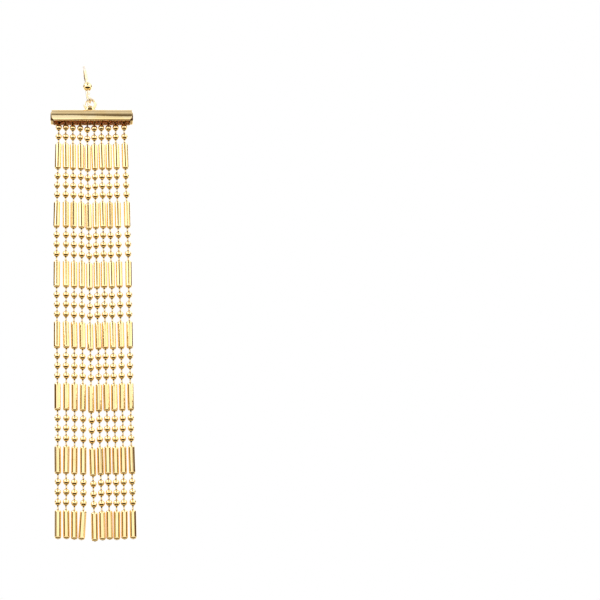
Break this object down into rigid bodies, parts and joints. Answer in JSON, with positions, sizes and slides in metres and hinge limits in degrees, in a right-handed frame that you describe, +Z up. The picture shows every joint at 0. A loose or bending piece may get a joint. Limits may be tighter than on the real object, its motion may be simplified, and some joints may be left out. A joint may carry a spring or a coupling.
{
  "type": "dangle earring",
  "caption": "Long fringe earring: strands of small balls and slim bars hang from a channel end cap, which swings on a jump ring under a beaded ear wire.",
  "frame": {"origin": "the inside of the ear wire's top bend, where the wire rests in the lobe", "axes": "+Z up, opposite to the way the strands hang; +X to the right as a viewer sees the front; -Y is the front, and the ear wire bends back towards +Y"},
  "size_m": [0.0273, 0.0133, 0.1593],
  "materials": {
    "gold": "polished pale gold plating on drawn wire",
    "cap_gold": "polished pale gold plating on folded sheet",
    "chain_gold": "polished pale gold plating on balls and rolled bars"
  },
  "bodies": {
    "hook": {"ear_wire": "gold", "hook_bead": "gold"},
    "ring": {"jump_ring": "gold"},
    "drop": {"end_cap": "cap_gold", "strand_01": "chain_gold", "strand_02": "chain_gold", "strand_03": "chain_gold", "strand_04": "chain_gold", "strand_05": "chain_gold", "strand_06": "chain_gold", "strand_07": "chain_gold", "strand_08": "chain_gold", "strand_09": "chain_gold", "strand_10": "chain_gold"}
  },
  "joints": [
    {"name": "ring_swing", "type": "hinge", "parent": "hook", "child": "ring", "pos_m": [0.00193, -0.0045, -0.01273], "axis": [1, 0, 0], "range_deg": [-60, 45]},
    {"name": "drop_sway", "type": "hinge", "parent": "ring", "child": "drop", "pos_m": [0.00193, -0.0045, -0.01449], "axis": [0, 1, 0], "range_deg": [-45, 45]}
  ]
}
